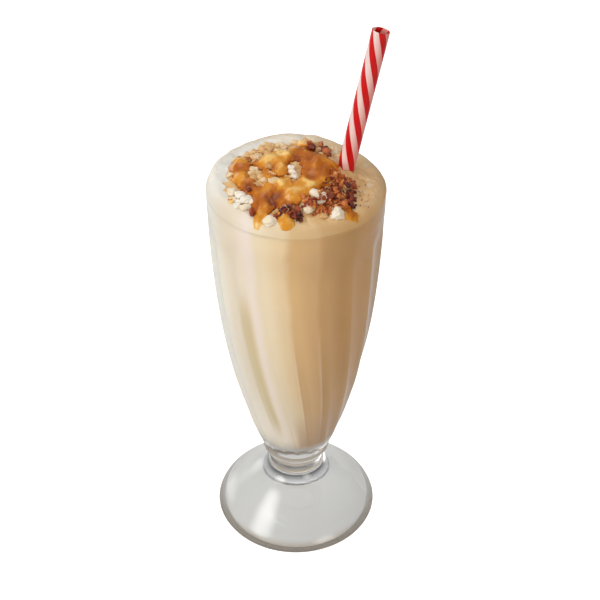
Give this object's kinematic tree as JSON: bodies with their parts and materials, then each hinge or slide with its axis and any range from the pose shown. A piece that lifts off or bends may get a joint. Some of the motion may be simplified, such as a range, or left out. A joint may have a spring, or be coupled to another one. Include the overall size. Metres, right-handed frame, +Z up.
{
  "type": "butterscotch milkshake",
  "caption": "Butterscotch milkshake filling a footed, fluted soda glass, with a frothy head, topping under butterscotch sauce and a striped drinking straw.",
  "frame": {"origin": "centre of the foot where it stands", "axes": "+Z up along the glass's axis, -Y towards the front, the straw leans towards +X"},
  "size_m": [0.081, 0.081, 0.2659],
  "materials": {
    "clear_glass": "polished",
    "milkshake": "smooth, opaque drink",
    "foam": "soft froth",
    "topping": "cream lumps and toasted crumbs",
    "sauce": "glossy, slightly clear",
    "straw": "red and white spiral stripes"
  },
  "bodies": {
    "root": {"glass": "clear_glass", "milkshake": "milkshake", "foam": "foam", "topping": "topping", "sauce": "sauce", "straw": "straw"}
  },
  "joints": []
}
